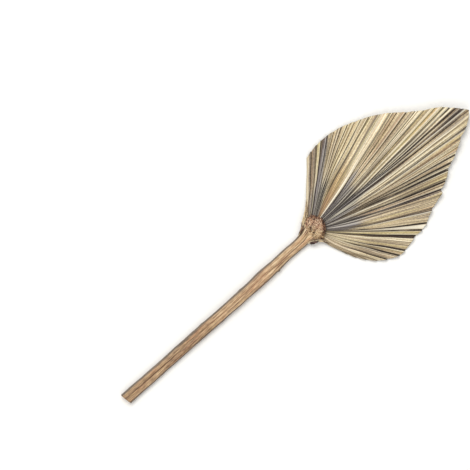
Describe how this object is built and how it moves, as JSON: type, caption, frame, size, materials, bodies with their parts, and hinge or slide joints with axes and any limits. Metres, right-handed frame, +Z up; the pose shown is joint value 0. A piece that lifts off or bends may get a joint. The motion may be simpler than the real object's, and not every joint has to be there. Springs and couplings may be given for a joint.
{
  "type": "dried fan palm leaf",
  "caption": "Dried fan palm frond cut to a spade shape: a pleated leaf blade on a bare stem, lying flat, for a vase, wreath or wall display.",
  "frame": {"origin": "under the middle of the frond's bounding box, on the surface that it lies on", "axes": "+Y from the stem's cut end to the leaf's tip, +X to the right seen from above with the tip pointing away, +Z up from the resting surface, towards the leaf's upper face"},
  "size_m": [0.1388, 0.4492, 0.0115],
  "materials": {
    "petiole": "dried fibrous stalk, tan-brown, satin, with fine lengthwise fibres",
    "hastula": "knobbly reddish-brown fibrous knot, matt, with dark pits",
    "blade": "dried pleated leaf, straw to cream with slate-grey and brown streaks along its veins, matt to satin",
    "margin_curl": "dark brown shrivelled leaf strip, matt"
  },
  "bodies": {
    "root": {"petiole": "petiole", "hastula": "hastula", "blade": "blade", "left_margin_curl": "margin_curl", "right_margin_curl": "margin_curl"}
  },
  "joints": []
}
